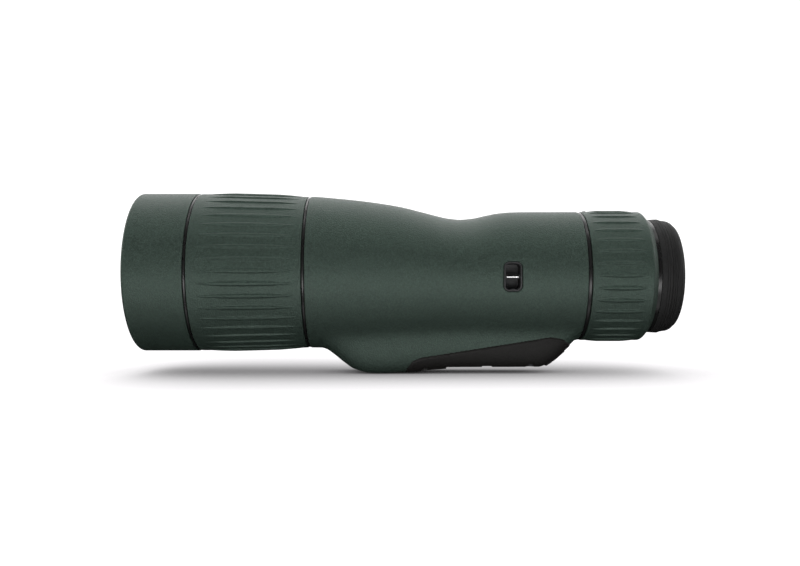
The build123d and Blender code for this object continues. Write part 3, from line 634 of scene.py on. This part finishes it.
def shoe():
    """Black foot: a proud skin with a rounded lip, flat underneath, with a cross groove."""
    outline = rounded(SHOE_EDGE, 8)
    stations = np.linspace(*SHOE_SPAN, 330)
    angle = np.radians(np.linspace(-90 - SHOE_SWEEP, -90 + SHOE_SWEEP, 380))
    x, a = np.meshgrid(stations, angle, indexing="ij")
    skin = body_points(x, a, np.zeros(x.shape))
    inside = outline_distance(skin[..., 0], skin[..., 2], outline)
    grow = np.where(inside > 0, SHOE_PROUD - edge_round(inside, SHOE_LIP),
                    SHOE_PROUD - SHOE_LIP - SHOE_SUNK)
    points = body_points(x, a, grow)
    flat = (x > FLAT_X[0]) & (x < FLAT_X[1])
    groove = (x > GROOVE_X[0]) & (x < GROOVE_X[1])
    low = np.where(groove, GROOVE_DEPTH, 0.0)
    points[..., 2] = np.where(flat, np.maximum(points[..., 2], low), points[..., 2])
    far, near_hole = 9.0, 0.8
    gap, move = np.full(x.shape, far), points.copy()
    for cx, cy, r in FOOT_HOLES:
        off = points[..., :2] - (cx, cy)
        reach = np.maximum(np.linalg.norm(off, axis=-1), 1e-6)
        near = reach - r < gap
        gap = np.where(near, reach - r, gap)
        move[..., :2] = np.where(near[..., None], (cx, cy) + off * (r / reach)[..., None],
                                 move[..., :2])
    outside = inside <= -SHOE_MARGIN
    gap = np.where(outside, -far, gap)
    beyond = gap > near_hole
    move = np.where((outside | beyond)[..., None], points, move)
    points, faces = open_grid(points, gap, move, False)
    piece = add_piece("foot_skin", points, faces, "scope",
                      finishes["foot_black"], ["foot_shoe"])
    shell = piece.modifiers.new("thickness", "SOLIDIFY")
    shell.thickness = SHOE_THICK * MM
    shell.offset = -1.0
    weigh_normals(piece)


# ---------------------------------------------------------------- strap pockets
WALL_INSET = 1.2
FRAME_THICK = 0.5
# (inset, distance from the middle plane) down the pocket's wall and across its floor
WALL_PROFILE = [(WALL_INSET, 33.0), (1.22, 30.0), (1.35, 29.3), (1.7, 29.0), (3.0, 29.0)]
# (inset from the hole in the rubber, height above the skin) across the frame
FRAME_PROFILE = [(0.0, -0.7), (0.26, -0.7), (0.31, -0.15), (0.36, 0.0), (0.5, 0.08),
                 (0.85, 0.08), (1.05, -0.02), (1.18, -0.3)]


def loop_points(inset, count=96):
    """Rounded rectangle of the pocket, pulled in by inset, as (x, z) points."""
    w, h = POCKET_W / 2 - inset, POCKET_H / 2 - inset
    r = max(0.4, POCKET_R - inset)
    corners = rounded([(-w, -h, r), (w, -h, r), (w, h, r), (-w, h, r)], 10)
    ends = np.roll(corners, -1, axis=0)
    length = np.linalg.norm(ends - corners, axis=1)
    total = np.concatenate([[0], np.cumsum(length)])
    want = np.linspace(0, total[-1], count, endpoint=False)
    i = np.clip(np.searchsorted(total, want, side="right") - 1, 0, len(corners) - 1)
    t = ((want - total[i]) / length[i])[:, None]
    points = corners[i] * (1 - t) + ends[i] * t
    return points + np.array([POCKET_X, POCKET_Z])


def side_depth(x, z):
    """Distance of the body's skin from the middle plane at a point of the side view."""
    angle = np.zeros(x.shape)
    for _ in range(12):
        skin = body_points(x, angle, np.zeros(x.shape))
        centre = skin[..., 2] - skin[..., 1] * np.tan(angle)
        angle = np.arctan2(z - centre, skin[..., 1])
    return body_points(x, angle, np.zeros(x.shape))[..., 1]


def drum(x0, x1, y, z, radius, edge, around=48):
    """Points and faces of a pin lying along X, with rounded ends."""
    outline = refined(rounded([(x0, 0.05), (x0, radius, edge), (x1, radius, edge), (x1, 0.05)],
                              5), 0.8)
    angle = np.linspace(0, 2 * math.pi, around, endpoint=False)
    points = np.stack([np.repeat(outline[:, :1], around, axis=1),
                       y + outline[:, 1:] * np.sin(angle),
                       z + outline[:, 1:] * np.cos(angle)], axis=-1).reshape(-1, 3)
    return points, grid_faces(len(outline), around, True, True)[:, ::-1]


def pocket(side, name):
    """Framed strap pocket with its shadow gap, drain notch and floor, and the pin across it."""
    low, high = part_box(f"strap_pin_{name}")
    low, high = np.array(low) / MM, np.array(high) / MM
    pin_y, pin_z, pin_r = (low[1] + high[1]) / 2, (low[2] + high[2]) / 2, (high[2] - low[2]) / 2
    rows = []
    for inset, level in FRAME_PROFILE:
        p = loop_points(inset)
        y = side_depth(p[:, 0], p[:, 1]) + level
        notch = np.exp(-((p[:, 0] - POCKET_X) / 1.1) ** 2) * (p[:, 1] < POCKET_Z - 6)
        p[:, 1] += 0.5 * min(1.0, inset / 0.8) * notch
        rows.append(np.stack([p[:, 0], side * y, p[:, 1]], axis=-1))
    for inset, y in WALL_PROFILE:
        p = loop_points(inset)
        rows.append(np.stack([p[:, 0], np.full(len(p), side * y), p[:, 1]], axis=-1))
    points = np.array(rows)
    cols = points.shape[1]
    faces = grid_faces(len(rows), cols, False, True)
    faces = [list(f if side < 0 else f[::-1]) for f in faces]
    floor = list(range((len(rows) - 1) * cols, len(rows) * cols))
    faces.append(floor if side < 0 else floor[::-1])
    points = points.reshape(-1, 3)
    piece = add_piece(f"strap_pocket_{name}", points, faces, "scope",
                      finishes["housing_black"], [f"strap_frame_{name}"], 50)
    shell = piece.modifiers.new("thickness", "SOLIDIFY")
    shell.thickness = FRAME_THICK * MM
    shell.offset = -1.0
    wall = POCKET_W / 2 - WALL_INSET
    for end in (-1, 1):
        x = sorted((POCKET_X + end * (wall + 0.2), POCKET_X + end * (wall - 0.85)))
        boss, boss_faces = drum(*x, pin_y, pin_z, pin_r + 0.45, 0.25)
        add_piece(f"strap_boss_{name}_{'front' if end < 0 else 'rear'}", boss, boss_faces,
                  "scope", finishes["housing_black"], (), 40)
    bar, bar_faces = drum(low[0], high[0], pin_y, pin_z, pin_r, 0.3)
    add_piece(f"strap_bar_{name}", bar, bar_faces, "scope",
              finishes["steel_bright"], [f"strap_pin_{name}"], 40)


# ---------------------------------------------------------------- eyecup
def fine_groove(x, radius, width=0.36, depth=0.26):
    """Corners of a shallow V groove round a ring."""
    half = width / 2
    return [(x - half, radius, 0.06), (x, radius - depth, 0.04), (x + half, radius, 0.06)]


def eyecup():
    """Gloss collar, matte twist sleeve with fine rings, and the soft rim."""
    trim("eyecup_neck", "eyecup_collar", Z_EYE, R_TUBE, 288, 0.25)
    x0, x1, _ = extent("eyecup_sleeve")
    outline = ([(x0, SLEEVE_BORE, 0), (x0, 32.3, 0.35), (x0 + 2.2, 32.4, 1.0)]
               + fine_groove(109.3, 32.47) + fine_groove(110.6, 32.53)
               + [(SLEEVE_X1, 32.6, 0.5), (SLEEVE_X1, 31.2, 0), (x1, 31.0, 0),
                  (x1, SLEEVE_BORE, 0)])
    lathe("eyecup_twist_sleeve", refined(rounded(outline, 6), 0.5), Z_EYE, "eyecup",
          finishes["rubber_black"], ["eyecup_sleeve"], 288)
    x0, x1, _ = extent("eyecup_rubber")
    outline = ([(x0, 31.2, 0), (x0, 31.5, 0.1), (x0 + 0.7, 32.0, 0.35)]
               + fine_groove(113.7, 31.9) + fine_groove(114.9, 31.75)
               + [(116.9, 31.45, 2.0), (x1, 29.3, 1.0), (x1, 28.1, 0.9), (118.6, 26.4, 0.4),
                  (117.7, 26.4, 0.1), (117.7, 31.0, 0)])
    lathe("eyecup_soft_rim", refined(rounded(outline, 8), 0.5), Z_EYE, "eyecup",
          finishes["rubber_black"], ["eyecup_rubber"], 288)


hood()
trim("front_trim", "front_trim_ring", Z_OBJ, R_BARREL)
focus_ring()
trim("focus_trim", "focus_trim_ring", Z_OBJ, R_BARREL)
armour()
shoe()
pocket(-1, "right")
pocket(1, "left")
trim("zoom_trim", "zoom_trim_ring", Z_EYE, R_TUBE)
zoom_ring()
index_pip()
eyecup()


# ---------------------------------------------------------------- stage, light, camera
def floor():
    """Plain pale floor at the lowest point of the scope that glows white, with a painted shadow:
    its glow dims by ambient occlusion where the scope shades it.
    """
    level = cad_box[0][2] - 0.00005
    size = 6.0
    shadow_reach, white = 0.08, 1.2
    mesh = bpy.data.meshes.new("floor")
    mesh.from_pydata([(-size, -size, level), (size, -size, level), (size, size, level),
                      (-size, size, level)], [], [(0, 1, 2, 3)])
    n = Nodes("floor_glow_painted_shadow")
    # painted shadow: the floor's white glow follows ambient occlusion within shadow_reach, so it
    # darkens near the scope
    occlusion = n.add("ShaderNodeAmbientOcclusion", {"Distance": shadow_reach}, samples=16)
    n.set(Base_Color=(0.0, 0.0, 0.0, 1.0), Roughness=1.0, Specular_IOR_Level=0.0,
          Emission_Color=(1.0, 0.985, 1.0, 1.0),
          Emission_Strength=n.span(occlusion.outputs["AO"], 0.0, white))
    mesh.materials.append(n.material)
    ground = bpy.data.objects.new("floor", mesh)
    bpy.context.scene.collection.objects.link(ground)
    ground.visible_glossy = False
    ground.visible_diffuse = False
    ground.visible_transmission = False
    ground.visible_shadow = False


def softbox(name, place, target, width, height, power, lights="both"):
    """Rectangular light at a place, facing a target, both in metres.

    lights is diffuse or gloss for a light that acts on one kind of reflection only.
    """
    light = bpy.data.lights.new(name, "AREA")
    light.shape = "RECTANGLE"
    light.size, light.size_y = width, height
    light.energy = power
    lamp = bpy.data.objects.new(name, light)
    bpy.context.scene.collection.objects.link(lamp)
    lamp.location = place
    direction = np.array(target, float) - np.array(place, float)
    lamp.rotation_mode = "QUATERNION"
    lamp.rotation_quaternion = Vector(direction).to_track_quat("-Z", "Y")
    lamp.visible_camera = False
    lamp.visible_glossy = lights != "diffuse"
    lamp.visible_diffuse = lights != "gloss"


CENTRE = (-0.03, 0.0, 0.05)     # middle of the object, in metres


def on_arc(elevation, distance):
    """Place over the object's long side, in degrees up from the front and in metres."""
    e = math.radians(elevation)
    return (CENTRE[0], CENTRE[1] - distance * math.cos(e), CENTRE[2] + distance * math.sin(e))


# name, elevation, distance, width, height, power, what it acts on
ARC_LAMPS = (
    ("overhead", 60, 1.2, 2.4, 0.9, 25.0, "diffuse"),
    ("front_fill", 0, 1.2, 2.4, 0.3, 6.0, "diffuse"),
    ("low_fill", -31, 0.9, 2.0, 0.5, 6.0, "diffuse"),
    ("rim", 125, 1.2, 2.4, 0.6, 11.0, "gloss"),
    ("upper", 88, 1.2, 2.4, 0.4, 5.2, "gloss"),
    ("front", -20, 1.2, 2.4, 0.4, 12.0, "gloss"),
    ("low_front", -60, 0.9, 2.0, 0.3, 1.6, "gloss"),
    ("back_fill", 165, 1.2, 2.4, 0.9, 14.0, "diffuse"),
    ("back_sheen", 155, 1.2, 2.4, 0.4, 6.0, "gloss"),
)
for lamp_name, elevation, distance, width, height, power, acts_on in ARC_LAMPS:
    softbox(lamp_name, on_arc(elevation, distance), CENTRE, width, height, power, acts_on)
softbox("objective_end", (-1.1, 0.2, 0.3), CENTRE, 0.8, 0.8, 4.0)
softbox("eyepiece_end", (1.1, 0.2, 0.3), CENTRE, 0.8, 0.8, 4.0)

BACKDROP = 1.3      # white as the camera sees it; it lights nothing
world = bpy.data.worlds.new("studio")
world.use_nodes = True
tree = world.node_tree
seen = tree.nodes.new("ShaderNodeBackground")
seen.inputs[0].default_value = (1, 1, 1, 1)
seen.inputs[1].default_value = BACKDROP
ambient = tree.nodes["Background"]
ambient.inputs[0].default_value = (1, 1, 1, 1)
ambient.inputs[1].default_value = 0.0
switch = tree.nodes.new("ShaderNodeMixShader")
path = tree.nodes.new("ShaderNodeLightPath")
tree.links.new(path.outputs["Is Camera Ray"], switch.inputs[0])
tree.links.new(ambient.outputs[0], switch.inputs[1])
tree.links.new(seen.outputs[0], switch.inputs[2])
tree.links.new(switch.outputs[0], tree.nodes["World Output"].inputs[0])
bpy.context.scene.world = world
bpy.context.scene.view_settings.view_transform = "Standard"

floor()

camera = bpy.data.cameras.new("camera")
camera.lens = 37.8
camera.sensor_width = 36.0
camera.clip_start, camera.clip_end = 0.01, 20.0
view = bpy.data.objects.new("camera", camera)
bpy.context.scene.collection.objects.link(view)
view.location = (-0.0351, -0.4845, 0.0472)      # level with the scope, close to its side
view.rotation_euler = (math.radians(90), 0, 0)
bpy.context.scene.camera = view
